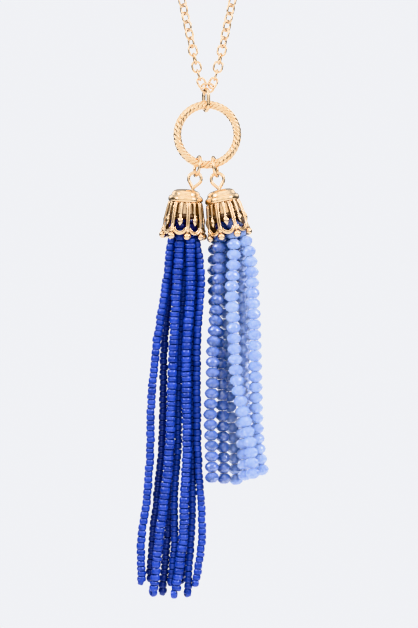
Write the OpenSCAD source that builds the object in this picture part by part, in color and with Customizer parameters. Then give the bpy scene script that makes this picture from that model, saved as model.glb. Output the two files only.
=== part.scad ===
// Long tassel necklace: a cable chain carries a twisted ring, and from the ring hang two
// filigree bell caps, one with strands of seed beads and one with strands of cut rondelles.
// Millimetres. +Z is up, the front faces -Y and the origin is the middle of the clasp at the nape.

/* [Chain] */
// Wire of a chain link
link_wire = 0.55; // [0.45:0.05:0.6]
// Distance from one link to the next
link_pitch = 2.33; // [2.2:0.01:2.5]
// Outer width of a link
link_width = 2.9; // [2.7:0.1:3.2]
// Free play between two links
link_play = 0.1; // [0.1:0.01:0.15]
// Links modelled singly on each side of the bail
front_links = 12; // [8:1:12]
// Diameter of the plain chain round the neck
chain_d = 2.7; // [2.3:0.1:3.0]

/* [Clasp] */
// Outer diameter of the spring ring
clasp_d = 8.2; // [7:0.1:10]
// Wire of the spring ring
clasp_wire = 1.8; // [1.4:0.1:2.2]
// Outer diameter of the clasp's eye
clasp_eye_d = 3.8; // [3.2:0.1:5]
// Wire of the clasp's eye
clasp_eye_wire = 0.8; // [0.6:0.1:1]

/* [Bail] */
// Wire of the oval bail
bail_wire = 0.8; // [0.7:0.05:0.8]
// Clear width inside the bail
bail_inner = 3.1; // [3.0:0.1:3.6]
// Turn of the bail about the vertical, in degrees
bail_turn = 23; // [10:1:25]

/* [Twisted ring] */
// Outer diameter of the ring
ring_d = 18.8; // [17:0.1:21]
// Thickness of the twisted wire, over its edges
ring_wire = 2.15; // [1.9:0.05:2.2]
// Thickness over its hollows, as a share of that
ring_hollow = 0.8; // [0.7:0.05:0.95]
// Full turns of the twist round the ring
ring_turns = 10; // [6:1:12]
// Air between the ring and what hangs on it
ring_air = 0.4; // [0.3:0.05:0.45]

/* [Jump rings and eyes] */
// Outer diameter of a jump ring
jump_d = 6.25; // [6.2:0.05:7]
// Wire of a jump ring
jump_wire = 0.8; // [0.7:0.05:0.85]
// Outer diameter of an eye loop
eye_d = 4.3; // [4.1:0.1:5]
// Wire of an eye loop
eye_wire = 0.8; // [0.7:0.05:0.85]
// From the middle of an eye loop to the point where its legs meet
eye_neck = 2.7; // [2.5:0.1:3.2]

/* [Bell caps] */
// Height from the ball circle to the top of the dome
cap_h = 13.0; // [12.5:0.1:14]
// Diameter of the dome
dome_d = 7.8; // [7.4:0.1:8]
// Height of the dome
dome_h = 2.0; // [1.8:0.1:2.4]
// Diameter of the shoulder band
shoulder_d = 9.2; // [9.1:0.1:9.6]
// Height of the shoulder band
shoulder_h = 1.7; // [1.5:0.1:1.9]
// Diameter of the ball circle
mouth_d = 11.9; // [11.5:0.1:12]
// Thickness of the metal
cap_wall = 0.45; // [0.4:0.05:0.5]
// Petals round a cap
petals = 8; // [8:1:9]
// Width of a petal's window
window_w = 2.8; // [2.5:0.1:2.9]
// Width of the wire round a window
petal_rim = 0.62; // [0.5:0.02:0.7]
// Width of the stem that hangs in a window
stem_w = 0.62; // [0.5:0.02:0.8]
// Width of the drop at a stem's end
drop_w = 1.5; // [1.2:0.1:1.7]
// Diameter of a ball at the lower edge
ball_d = 2.0; // [1.8:0.1:2.1]
// Diameter of the granule over a ball
granule_d = 1.0; // [0.8:0.1:1.2]
// Height of the inner cup's rim over the ball circle
cup_rim = 6.2; // [5.8:0.1:6.6]
// Space round the inner cup's rim, inside the shoulder band's width
cup_gap = 0.3; // [0.3:0.05:0.4]
// Thickness of the inner cup
cup_wall = 0.35; // [0.3:0.05:0.4]

/* [Tassels] */
// Thickness of a strand of seed beads
seed_d = 2.3; // [2.1:0.05:2.35]
// Diameter of a rondelle over its girdle
rondelle_d = 4.0; // [3.8:0.1:4.0]
// Length of a rondelle along its thread
rondelle_l = 2.7; // [2.5:0.05:3]
// Space between two rondelles
rondelle_gap = 0.2; // [0.12:0.01:0.3]
// Diameter of a rondelle's flat ends
table_d = 2.2; // [1.8:0.1:2.6]
// Hole drilled through a rondelle
drill_d = 0.9; // [0.8:0.05:1.1]
// Thread of the rondelles
thread_d = 0.4; // [0.3:0.05:0.45]

/* [Hidden] */
$fn = 32;

gold = [0.93, 0.78, 0.55];
cobalt = [0.16, 0.25, 0.72];
periwinkle = [0.62, 0.72, 0.93];

// The chain's route up one side, from the bail to the clasp: across, forward and up
chain_route = [[0, 0, 0], [1.6, -0.2, 1.4], [3.05, -0.8, 6], [5.0, -1, 15], [7.2, -1, 25],
    [12, -1, 48], [18, -1, 76], [24, -0.5, 104], [30, 0, 132], [36, 1, 160], [42, 3, 188],
    [48, 6, 216], [54, 11, 243], [59, 19, 267], [62, 31, 287], [63, 45, 303], [61, 60, 316],
    [57, 75, 326], [49, 89, 334], [38, 100, 339], [25, 107, 342], [14, 110.5, 343]];
// Diameter of the inner cup at its rim
cup_d = shoulder_d - 2 * cup_gap;
// Where the chain's lowest link lies from the clasp, which the route ends beside
clasp_step = 0.5;
route_end = chain_route[len(chain_route) - 1];
front_y = -route_end[1] - clasp_step;
front_z = -route_end[2];
// Turn of the links about the chain, from the lowest link upward, then the same all along
link_turns = [0, -50, -30, -20, -25, -28, -35, -40];
link_turn_far = -45;
// The lowest link is a little longer, to take the bail between its neighbours
low_link_extra = 0.5;
low_step = 2.13;

// Middle of the ring's wire circle and the bail above it
ring_r = (ring_d - ring_wire) / 2;
ring_wire_r = ring_wire / 2;
bail_r = (bail_inner + bail_wire) / 2;
bail_drop = 6.15;
link_in_r = (link_width - link_wire) / 2;
hook = (bail_wire + link_wire) / 2 + link_play;
bail_top = [0, front_y, front_z - link_in_r + hook];
bail_low = bail_top - [0, 0, bail_drop];
ring_c = bail_low + [0, 0, bail_wire / 2 + ring_air + ring_wire_r - ring_r];

// Each tassel: place along the ring, leans of jump ring, eye and cap, turns and phases in degrees
left_side = [-2.58, -11, 22, -12, -1.8, 0.2, -4, 33];
right_side = [2.0, 11.5, -10, 9.5, 0.25, 0.1, 12, 24];
function hang_x(s) = s[0];
function jump_lean(s) = s[1];
function jump_turn(s) = s[2];
function eye_lean(s) = s[3];
function cap_shift(s) = s[4];
function cap_sink(s) = s[5];
function cap_lean(s) = s[6];
function cap_phase(s) = s[7];

// A step down that leans sideways
function down(lean) = [sin(lean), 0, -cos(lean)];
jump_r = (jump_d - jump_wire) / 2;
jump_in = jump_d / 2 - jump_wire;
eye_r = (eye_d - eye_wire) / 2;
eye_play = 0.1;
function pivot(s) = ring_c + [hang_x(s), 0, -sqrt(pow(ring_r, 2) - pow(hang_x(s), 2))];
function jump_c(s) = pivot(s) + (jump_in - ring_wire_r - ring_air) * down(jump_lean(s));
function eye_c(s) = jump_c(s) + (jump_in - eye_play - eye_wire / 2) * down(jump_lean(s))
                    + eye_r * down(eye_lean(s));
function eye_apex(s) = eye_c(s) + eye_neck * down(eye_lean(s));
function cap_top(s) = eye_apex(s) + [cap_shift(s), 0, -cap_sink(s)];
function mouth(s) = cap_top(s) + cap_h * down(cap_lean(s));

// Heights in a cap, from the ball circle
shoulder_top = cap_h - dome_h;
shoulder_low = shoulder_top - shoulder_h;
skirt_low = 0.5;
head_low = 3.6;
head_top = shoulder_low - 0.9;
head_r = cup_d / 2 - 0.05;
head_top_r = cup_d / 2 - 1.1;
shaft_hole = eye_wire + 0.6;

// Strands, from the cap's mouth: heights below it, then each strand's way across and back
seed_levels = [-5.2, -1.3, 7.7, 17.7, 29.7, 45.7, 59.7, 72.7, 83.7, 94.7];
seed_across = [
    [-2.1, -2.9, -4.0, -5.4, -7.3, -8.8, -9.1, -10.0, -11.6, -11.5],
    [-0.6, -0.7, -1.3, -2.0, -2.6, -3.3, -3.8, -5.1, -6.3, -7.6],
    [1.6, 1.8, 2.1, 1.9, 1.0, 0.9, 1.1, 0.3, 0.3, -1.6],
    [2.7, 3.1, 4.7, 4.8, 3.9, 3.9, 4.1, 4.9, 5.4, 3.9],
    [-1.9, -2.5, -3.2, -4.1, -5.2, -5.6, -6.0, -7.3, -8.5, -9.4],
    [-0.4, -0.4, -0.8, -1.2, -2.0, -3.0, -3.5, -3.4, -4.4, -5.8],
    [-0.5, -0.6, 0.3, -0.1, -0.8, -1.3, -1.5, -2.5, -2.3, -3.3],
    [1.7, 2.0, 3.4, 3.4, 2.6, 2.5, 2.7, 2.6, 2.2, 1.2],
    [1.5, 1.7, 1.9, 1.8, 1.2, 1.0, 1.2, 0.6, 0.4, -0.6]];
seed_back = [
    [-0.6, -0.8, -1.4, -1.6, -1.8, -1.8, -1.5, -1.3, -1.2, -1.2],
    [-2.0, -2.5, -2.8, -2.8, -2.6, -2.4, -2.4, -2.2, -2.0, -1.6],
    [-2.0, -2.7, -2.9, -2.9, -2.8, -2.8, -2.6, -2.4, -2.2, -1.8],
    [-0.8, -0.9, -1.6, -1.7, -1.6, -1.4, -1.4, -1.4, -1.4, -1.4],
    [1.3, 1.8, 1.6, 1.4, 1.0, 0.8, 1.0, 1.2, 1.3, 1.3],
    [2.6, 3.0, 3.4, 3.4, 3.2, 2.8, 2.6, 2.4, 2.0, 1.6],
    [0.0, 0.1, 0.0, 0.0, 0.2, 0.2, 0.1, -0.2, 0.0, 0.2],
    [0.2, 0.5, 0.2, 0.2, 0.0, -0.1, 0.0, 0.2, 0.2, 0.0],
    [2.1, 2.6, 2.8, 2.8, 2.8, 2.7, 2.8, 2.6, 2.5, 2.2]];
// How far each strand of seed beads ends below the lowest level
seed_ends = [1.0, 4.0, 4.5, 1.5, 0.5, 4.2, 1.5, 4.5, 1.0];

rondelle_levels = [-5.4, 2.5, 9, 16, 24, 32.5, 41, 49, 57.5, 69];
rondelle_across = [
    [-1.6, -2.9, -2.9, -3.2, -4.0, -4.7, -4.8, -5.4, -5.1, -4.9],
    [-2.3, -4.0, -4.3, -4.2, -3.7, -3.0, -2.4, -2.1, -1.9, -1.5],
    [-0.3, -0.3, -0.4, -0.5, -0.6, -0.7, -0.4, 0.1, 1.0, 1.9],
    [0.4, 1.1, 0.9, 0.5, 0.9, 1.3, 2.0, 3.6, 5.5, 6.5],
    [1.7, 2.9, 3.0, 3.2, 3.8, 3.7, 3.3, 3.3, 3.6, 4.3],
    [0.4, 4.6, 5.9, 6.3, 6.7, 6.9, 7.1, 7.3, 7.8, 9.4],
    [1.6, 4.0, 4.4, 4.3, 4.2, 4.2, 4.4, 4.8, 5.3, 6.1]];
rondelle_back = [
    [-1.2, -2.2, -2.2, -2.3, -3.0, -3.6, -3.6, -3.6, -3.6, -3.6],
    [0.6, 1.7, 1.8, 1.8, 1.2, 0.4, -0.2, -0.5, -0.5, -0.5],
    [1.9, 3.6, 3.7, 3.8, 4.0, 3.9, 3.6, 3.5, 3.5, 3.6],
    [-2.4, -3.9, -3.9, -4.0, -4.0, -4.0, -4.0, -4.0, -4.0, -3.8],
    [0.5, 0.8, 0.7, 0.7, 0.6, 0.5, 0.4, 0.4, 0.2, 0.2],
    [-0.3, -2.7, -3.3, -3.1, -3.0, -2.9, -2.3, -1.2, -0.3, 0.4],
    [2.4, 4.6, 4.9, 4.9, 4.8, 4.7, 4.6, 4.5, 4.4, 4.4]];
// Height of each strand's first rondelle below the mouth, and of its last one
rondelle_first = [3.4, 3.9, 3.0, 2.6, 2.9, 4.6, 4.9];
rondelle_last = [67.5, 67.5, 68.5, 65.0, 69.0, 65.0, 65.5];

// A smooth curve through points, one unit of t for each point
function leg(p, i) = i == 0 ? p[1] - p[0]
                   : i == len(p) - 1 ? p[i] - p[i - 1]
                   : (p[i + 1] - p[i - 1]) / 2;
function curve(p, t) =
    let (i = min(floor(t), len(p) - 2), u = t - i, v = 1 - u)
    p[i] * v * v * (1 + 2 * u) + leg(p, i) * v * v * u
    + p[i + 1] * u * u * (1 + 2 * v) - leg(p, i + 1) * u * u * v;
function unit(v) = v / norm(v);
function heading(p, t) =
    let (h = 0.01, a = max(0, t - h), b = min(len(p) - 1, t + h))
    unit(curve(p, b) - curve(p, a));
// Length run along a curve, paired with t
steps_per_leg = 8;
function run(p) =
    let (n = (len(p) - 1) * steps_per_leg)
    [for (k = 0, s = 0; k <= n;
          s = s + norm(curve(p, min(k + 1, n) / steps_per_leg) - curve(p, k / steps_per_leg)),
          k = k + 1)
     [s, k / steps_per_leg]];
function run_length(p) = let (r = run(p)) r[len(r) - 1][0];

// Rings of points square to a curve, ready for a skin
front_way = [0, -1, 0];
function ring_at(c, t, r, sides) =
    let (w = unit(cross(t, front_way)), h = cross(w, t))
    [for (j = [0:sides - 1]) c + r * (cos(360 * j / sides) * w + sin(360 * j / sides) * h)];

// A skin over rings that all have the same count of points
module skin(rings, closed = false) {
    n = len(rings);
    m = len(rings[0]);
    last = closed ? n - 1 : n - 2;
    points = [for (r = rings) each r];
    sides = [for (i = [0:last], j = [0:m - 1])
        let (a = i * m + j, b = i * m + (j + 1) % m,
             c = ((i + 1) % n) * m + j, d = ((i + 1) % n) * m + (j + 1) % m)
        each [[a, b, d], [a, d, c]]];
    ends = closed ? [] : [[for (j = [m - 1:-1:0]) j], [for (j = [0:m - 1]) (n - 1) * m + j]];
    polyhedron(points, concat(sides, ends));
}

module tube(p, r, sides, rings) {
    table = run(p);
    long = run_length(p);
    skin([for (i = [0:rings - 1])
        let (t = lookup(long * i / (rings - 1), table))
        ring_at(curve(p, t), heading(p, t), r, sides)]);
}

// Sets what is drawn along X down a heading, with its flat side turned by an angle
module along(c, t, turn) {
    face = unit(front_way - (front_way * t) * t);
    side = cross(t, face);
    n = cos(turn) * face + sin(turn) * side;
    w = cross(n, t);
    multmatrix([[t[0], w[0], n[0], c[0]],
                [t[1], w[1], n[1], c[1]],
                [t[2], w[2], n[2], c[2]],
                [0, 0, 0, 1]])
        children();
}

module torus(r, wire) {
    rotate_extrude() translate([r, 0]) circle(d = wire);
}

// An oval of round wire, its long way along X
module oval(r, straight, wire) {
    for (side = [1, -1])
        translate([side * straight / 2, 0, 0])
            rotate([0, 0, -90 * side]) rotate_extrude(angle = 180) translate([r, 0]) circle(d = wire);
    for (side = [1, -1])
        translate([0, side * r, 0]) rotate([0, 90, 0]) cylinder(d = wire, h = straight, center = true);
}

link_long = link_pitch + link_play + link_wire;
module link(extra = 0) {
    color(gold) oval(link_in_r, link_long - 2 * link_in_r + extra, link_wire);
}

// One side of the chain's route, as points of the model
function side_route(side) = [for (q = chain_route) [side * q[0], front_y + q[1], front_z + q[2]]];
// Links lie square to their neighbours, each with a little turn of its own
function link_turn(i) = i < len(link_turns) ? link_turns[i] : link_turn_far;
function step_turn(i) = 90 * ((i + 1) % 2) + link_turn(i);
module links(side) {
    route = side_route(side);
    table = run(route);
    for (i = [1:front_links]) {
        t = lookup(low_step + (i - 1) * link_pitch, table);
        along(curve(route, t), heading(route, t), side * step_turn(i)) link();
    }
}
module chain_front() {
    along([0, front_y, front_z], [1, 0, 0], step_turn(0) - 90) link(low_link_extra);
    links(-1);
    links(1);
}

clasp_ring_r = (clasp_d - clasp_wire) / 2;
clasp_eye_r = (clasp_eye_d - clasp_eye_wire) / 2;
clasp_long = clasp_d + clasp_eye_d - clasp_eye_wire;
module clasp() {
    color(gold) {
        translate([(clasp_long - clasp_d) / 2, 0, 0])
            rotate([90, 0, 0]) torus(clasp_ring_r, clasp_wire);
        translate([(clasp_eye_d - clasp_long) / 2, 0, 0])
            rotate([90, 0, 0]) torus(clasp_eye_r, clasp_eye_wire);
    }
}

// Plain tubes for the rest of the chain, each from the last front link to the clasp
tube_rings = 40;
tube_sides = 8;
clasp_air = 0.25;
// A route point closer than this share of a leg to the tube's start is left out
route_skip = 0.2;
module chain_back() {
    for (side = [-1, 1]) {
        route = side_route(side);
        table = run(route);
        t0 = lookup(low_step + (front_links - 1) * link_pitch + link_long / 2 + link_wire, table);
        first = ceil(t0 + route_skip);
        rest = [for (i = [first:len(route) - 1]) route[i]];
        color(gold)
            tube(concat([curve(route, t0)], rest, [[side * (clasp_long / 2 + clasp_air), 0, 0]]),
                 chain_d / 2, tube_sides, tube_rings);
    }
}

module bail() {
    color(gold)
        translate((bail_top + bail_low) / 2)
            rotate([0, 0, bail_turn - 90]) rotate([0, 90, 90])
                oval(bail_r, bail_drop - 2 * bail_r, bail_wire);
}

ring_steps = 160;
ring_points = 8;
module twisted_ring() {
    rings = [for (i = [0:ring_steps - 1])
        let (a = 360 * i / ring_steps, out = [cos(a), 0, sin(a)])
        [for (j = [0:ring_points - 1])
            let (b = 360 * j / ring_points + ring_turns * a,
                 r = ring_wire_r * (j % 2 == 0 ? 1 : ring_hollow))
            ring_c + (ring_r + r * cos(b)) * out + [0, r * sin(b), 0]]];
    color(gold) skin(rings, closed = true);
}

module jump_ring(s) {
    color(gold)
        translate(jump_c(s)) rotate([0, -jump_lean(s), 0])
            rotate([0, 0, jump_turn(s)]) rotate([0, 90, 0]) torus(jump_r, jump_wire);
}

// A wire loop like a drop, closed at its neck, with a shaft that goes down into the cap
eye_half = asin(eye_r / eye_neck);
eye_leg = sqrt(pow(eye_neck, 2) - pow(eye_r, 2));
shaft_d = eye_wire + 0.2;
leg_d = eye_wire + 0.04;
leg_lap = 0.15;
shaft_over = 0.35;
// How far the shaft stands off the cap's axis, and where it ends in the cap
function shaft_off(s) = -cap_shift(s) * cos(cap_lean(s));
function shaft_end(s) = mouth(s) - (head_top + 0.15) * down(cap_lean(s))
                        + shaft_off(s) * [cos(cap_lean(s)), 0, sin(cap_lean(s))];
module rod(a, b, d) {
    v = b - a;
    translate(a) rotate([0, atan2(v[0], v[2]), 0]) cylinder(d = d, h = norm(v));
}
module eye(s) {
    color(gold) {
        translate(eye_c(s)) rotate([0, -eye_lean(s), 0]) rotate([90, 0, 0]) {
            rotate([0, 0, -eye_half])
                rotate_extrude(angle = 180 + 2 * eye_half)
                    translate([eye_r, 0]) circle(d = eye_wire);
            for (side = [-1, 1])
                translate([0, -eye_neck, 0])
                    rotate([0, 0, side * eye_half]) rotate([-90, 0, 0])
                        cylinder(d = leg_d, h = eye_leg + leg_lap);
        }
        rod(eye_apex(s) - shaft_over * down(eye_lean(s)), shaft_end(s), shaft_d);
    }
}

// Puts what is drawn about the mouth's middle into a tassel's place and lean
module in_cap(s) {
    translate(mouth(s)) rotate([0, -cap_lean(s), 0]) children();
}
module shaft_bore(s) {
    translate([shaft_off(s), 0, cup_rim]) cylinder(d = shaft_hole, h = cap_h);
}

// Outer radius of the petals at a height over the ball circle
function skirt_r(z) = mouth_d / 2 + (shoulder_d / 2 - 0.1 - mouth_d / 2) * z / shoulder_low;
// The dome is the top of a ball, over a short upright edge
dome_rise = dome_h * 0.55;
dome_edge = 0.4;
dome_ball = (pow(dome_d / 2, 2) + pow(dome_rise, 2)) / (2 * dome_rise);
// Two ribs run round the shoulder
rib_depth = 0.35;
rib_lap = 0.02;
module cap_body() {
    z_in = shoulder_low - 0.3;
    rotate_extrude($fn = 48) difference() {
        union() {
            intersection() {
                translate([0, cap_h - dome_ball]) circle(dome_ball, $fn = 96);
                translate([0, shoulder_top - dome_edge]) square([dome_d / 2, dome_h + 1]);
            }
            translate([0, shoulder_low]) square([shoulder_d / 2 - rib_depth, shoulder_h]);
            for (z = [0.25, 0.75])
                translate([shoulder_d / 2 - shoulder_h / 4, shoulder_low + shoulder_h * z])
                    circle(d = shoulder_h / 2 + rib_lap);
            polygon([[0, shoulder_low + 0.1], [skirt_r(shoulder_low), shoulder_low + 0.1],
                     [skirt_r(skirt_low - 3), skirt_low - 3], [0, skirt_low - 3]]);
        }
        square([dome_d / 2 - cap_wall, cap_h - dome_h * 0.5]);
        polygon([[0, z_in], [skirt_r(z_in) - cap_wall, z_in],
                 [skirt_r(skirt_low - 4) - cap_wall, skirt_low - 4], [0, skirt_low - 4]]);
    }
}
// A prism that goes out along X, round at its lower end
module petal_prism(w, low, top, near) {
    translate([near, 0, 0]) rotate([90, 0, 90]) linear_extrude(mouth_d) union() {
        translate([0, low + w / 2]) circle(d = w);
        translate([-w / 2, low + w / 2]) square([w, top - low - w / 2]);
    }
}
// A stem's drop hangs below the inner cup's rim
drop_below = 1.9;
drop_tip = 1.1;
drop_neck = 1.6;
module drop_prism() {
    translate([1, 0, 0]) rotate([90, 0, 90]) linear_extrude(mouth_d) {
        translate([-stem_w / 2, cup_rim - 1]) square([stem_w, shoulder_low]);
        translate([0, cup_rim - drop_below])
            polygon([[-drop_w / 2, 0], [0, -drop_tip], [drop_w / 2, 0], [0, drop_neck]]);
    }
}
// A short post behind each ball and its granule ties them to the petals
post_h = 2.4;
post_d = 0.8;
window_low = 2.1;
window_top = shoulder_low - 0.6;
petal_step = 360 / petals;
petal_w = window_w + 2.6 * petal_rim;
granule_z = post_h * 0.65;
module cap(s) {
    color(gold) in_cap(s) {
        difference() {
            intersection() {
                cap_body();
                union() {
                    translate([0, 0, shoulder_low - 0.35]) cylinder(d = shoulder_d + 2, h = cap_h);
                    for (k = [0:petals - 1])
                        rotate([0, 0, (k + 0.5) * petal_step - cap_phase(s)])
                            petal_prism(petal_w, skirt_low + 0.1, shoulder_low, 1);
                }
            }
            for (k = [0:petals - 1])
                rotate([0, 0, (k + 0.5) * petal_step - cap_phase(s)]) difference() {
                    petal_prism(window_w, window_low, window_top, 0.5);
                    drop_prism();
                }
            shaft_bore(s);
        }
        for (k = [0:petals - 1])
            rotate([0, 0, k * petal_step - cap_phase(s)]) {
                translate([mouth_d / 2 - 0.15, 0, 0.1]) sphere(d = ball_d);
                translate([skirt_r(post_h) - cap_wall / 2, 0, granule_z]) sphere(d = granule_d);
                translate([skirt_r(post_h) - cap_wall / 2, 0, 0]) cylinder(d = post_d, h = post_h);
            }
    }
}

cup_top = shoulder_low - 0.4;
cup_top_r = cup_d / 2 - 0.3;
module inner_cup(s) {
    color(gold) in_cap(s) difference() {
        rotate_extrude($fn = 48) polygon([[0, cup_top], [cup_top_r, cup_top], [cup_d / 2, cup_rim],
            [cup_d / 2 - cup_wall, cup_rim], [cup_top_r - cup_wall, cup_top - cup_wall],
            [0, cup_top - cup_wall]]);
        shaft_bore(s);
    }
}

module head(s) {
    in_cap(s) translate([0, 0, head_low])
        cylinder(r1 = head_r, r2 = head_top_r, h = head_top - head_low);
}
// A strand's points, from its levels, its way across and back, and the mouth it hangs from
function strand(s, levels, across, back) =
    [for (i = [0:len(levels) - 1]) mouth(s) + [across[i], back[i], -levels[i]]];
function longer(levels, extra) =
    [for (i = [0:len(levels) - 1]) levels[i] + (i == len(levels) - 1 ? extra : 0)];

seed_sides = 8;
seed_rings = 19;
module seed_tassel() {
    color(cobalt) {
        head(left_side);
        for (k = [0:len(seed_across) - 1])
            tube(strand(left_side, longer(seed_levels, seed_ends[k]), seed_across[k], seed_back[k]),
                 seed_d / 2, seed_sides, seed_rings);
    }
}

function rondelle_route(k) =
    strand(right_side, rondelle_levels, rondelle_across[k], rondelle_back[k]);
rondelle_step = rondelle_l + rondelle_gap;
// Half the girdle, and how far each rondelle is turned past the last, in degrees
girdle = 0.2;
bead_turn = 37;
strand_turn = 11;
// A cut stone along X: eight sides, each with a crown facet, a girdle and a pavilion facet
module rondelle() {
    l = rondelle_l / 2;
    r = rondelle_d / 2;
    t = table_d / 2;
    difference() {
        intersection_for (a = [0:45:135])
            rotate([a, 0, 0]) translate([0, 0, -rondelle_d]) linear_extrude(2 * rondelle_d)
                polygon([[-l, -t], [-girdle, -r], [girdle, -r], [l, -t],
                         [l, t], [girdle, r], [-girdle, r], [-l, t]]);
        rotate([0, 90, 0]) cylinder(d = drill_d, h = rondelle_l + 1, center = true);
    }
}
// Where along its thread a strand's first rondelle lies, and how many follow
function level_t(route, z) =
    lookup(z, [for (i = [0:len(route) - 1]) [mouth(right_side)[2] - route[i][2], i]]);
function run_at(route, t) = lookup(t, [for (q = run(route)) [q[1], q[0]]]);
module rondelle_strand(k) {
    route = rondelle_route(k);
    table = run(route);
    s0 = run_at(route, level_t(route, rondelle_first[k]));
    s1 = run_at(route, level_t(route, rondelle_last[k]));
    count = floor((s1 - s0) / rondelle_step);
    color(periwinkle)
        for (i = [0:count]) {
            t = lookup(s0 + i * rondelle_step, table);
            along(curve(route, t), heading(route, t), bead_turn * i + strand_turn * k) rondelle();
        }
}
thread_sides = 5;
thread_rings = 26;
module rondelle_threads() {
    color(periwinkle) {
        head(right_side);
        for (k = [0:len(rondelle_across) - 1])
            tube(rondelle_route(k), thread_d / 2, thread_sides, thread_rings);
    }
}

chain_front();
chain_back();
clasp();
bail();
twisted_ring();
jump_ring(left_side);  // jump_ring_left
jump_ring(right_side);  // jump_ring_right
eye(left_side);  // eye_left
eye(right_side);  // eye_right
cap(left_side);  // cap_left
cap(right_side);  // cap_right
inner_cup(left_side);  // inner_cup_left
inner_cup(right_side);  // inner_cup_right
seed_tassel();
rondelle_threads();
rondelle_strand(0);  // rondelles_1
rondelle_strand(1);  // rondelles_2
rondelle_strand(2);  // rondelles_3
rondelle_strand(3);  // rondelles_4
rondelle_strand(4);  // rondelles_5
rondelle_strand(5);  // rondelles_6
rondelle_strand(6);  // rondelles_7
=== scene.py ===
# Long tassel necklace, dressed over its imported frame: chain, bail, twisted ring, two filigree
# bell caps, a tassel of seed beads and a tassel of cut rondelles. Sizes are in millimetres and
# turned into metres where a mesh is made.
import math
import random

import bpy
from mathutils import Matrix, Vector


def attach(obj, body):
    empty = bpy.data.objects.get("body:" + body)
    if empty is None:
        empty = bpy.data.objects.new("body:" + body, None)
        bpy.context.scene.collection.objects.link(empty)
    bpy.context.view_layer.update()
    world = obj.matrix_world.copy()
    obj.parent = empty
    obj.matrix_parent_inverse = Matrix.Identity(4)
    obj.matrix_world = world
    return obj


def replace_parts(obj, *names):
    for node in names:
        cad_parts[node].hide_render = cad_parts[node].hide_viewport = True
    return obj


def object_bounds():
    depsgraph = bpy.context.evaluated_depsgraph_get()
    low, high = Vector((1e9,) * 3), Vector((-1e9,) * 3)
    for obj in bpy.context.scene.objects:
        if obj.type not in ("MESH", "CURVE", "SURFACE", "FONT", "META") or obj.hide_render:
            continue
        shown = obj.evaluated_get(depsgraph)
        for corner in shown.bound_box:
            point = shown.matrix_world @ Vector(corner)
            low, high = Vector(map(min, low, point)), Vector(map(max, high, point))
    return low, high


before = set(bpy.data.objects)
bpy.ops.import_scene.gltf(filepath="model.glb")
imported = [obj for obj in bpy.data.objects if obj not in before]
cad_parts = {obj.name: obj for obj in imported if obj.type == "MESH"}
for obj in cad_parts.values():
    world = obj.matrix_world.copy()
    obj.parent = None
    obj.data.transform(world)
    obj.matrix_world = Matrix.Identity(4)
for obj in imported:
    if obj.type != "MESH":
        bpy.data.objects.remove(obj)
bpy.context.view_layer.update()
random.seed(7)
mm = 0.001
xAxis, yAxis, zAxis = (Vector(row) for row in Matrix.Identity(3))


view = {
    "aim": (0.47, -111, -405.8),
    "distance": 727,
    "focal": 150,
    "sensor": 36,
    "floorDrop": 250,  # floor below the lowest bead
}


def addObject(name, data):
    obj = bpy.data.objects.new(name, data)
    bpy.context.collection.objects.link(obj)
    return obj


def addCamera():
    cam = bpy.data.cameras.new("camera")
    cam.lens = view["focal"]
    cam.sensor_fit = "AUTO"
    cam.sensor_width = view["sensor"]
    cam.clip_start = 0.01
    obj = addObject("camera", cam)
    x, y, z = view["aim"]
    obj.location = (x * mm, (y - view["distance"]) * mm, z * mm)
    obj.rotation_euler = (math.radians(90), 0, 0)
    bpy.context.scene.camera = obj
    bpy.context.scene.view_settings.view_transform = "Khronos PBR Neutral"


addCamera()
print("camera placed")


def newMaterial(name):
    mat = bpy.data.materials.new(name)
    mat.use_nodes = True
    shader = mat.node_tree.nodes["Principled BSDF"]
    return mat, shader


# Sockets are colours where the value is a tuple or the name says so, and numbers otherwise
def makeGroup(name, inputs, outputs):
    group = bpy.data.node_groups.new(name, "ShaderNodeTree")
    for label, value in inputs.items():
        kind = "NodeSocketColor" if isinstance(value, tuple) else "NodeSocketFloat"
        sock = group.interface.new_socket(name=label, in_out="INPUT", socket_type=kind)
        sock.default_value = value
    for label in outputs:
        kind = "NodeSocketColor" if label == "Color" else "NodeSocketFloat"
        group.interface.new_socket(name=label, in_out="OUTPUT", socket_type=kind)
    return group, group.nodes.new("NodeGroupInput"), group.nodes.new("NodeGroupOutput")


def mixColor(tree, factor, a, b):
    node = tree.nodes.new("ShaderNodeMix")
    node.data_type = "RGBA"
    tree.links.new(factor, node.inputs["Factor"])
    for value, sock in ((a, node.inputs["A"]), (b, node.inputs["B"])):
        if isinstance(value, tuple):
            sock.default_value = value
        else:
            tree.links.new(value, sock)
    return node.outputs["Result"]


def rangeNode(tree, value, source, target=(0, 1), smooth=False):
    node = tree.nodes.new("ShaderNodeMapRange")
    if smooth:
        node.interpolation_type = "SMOOTHSTEP"
    for label, number in zip(("From Min", "From Max", "To Min", "To Max"), (*source, *target)):
        node.inputs[label].default_value = number
    tree.links.new(value, node.inputs["Value"])
    return node


def mathNode(tree, operation, *values, clamp=False):
    node = tree.nodes.new("ShaderNodeMath")
    node.operation = operation
    node.use_clamp = clamp
    for value, sock in zip(values, node.inputs):
        if isinstance(value, (int, float)):
            sock.default_value = value
        else:
            tree.links.new(value, sock)
    return node.outputs[0]


# How fine the noises are, and the part of their range that the tones are spread over
noises = {
    "driftDetail": 3,
    "driftSpread": (0.35, 0.65),
    "grainDetail": 4,
    "grainSpread": (0.3, 0.7),
    "shadeSamples": 8,
}


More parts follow.
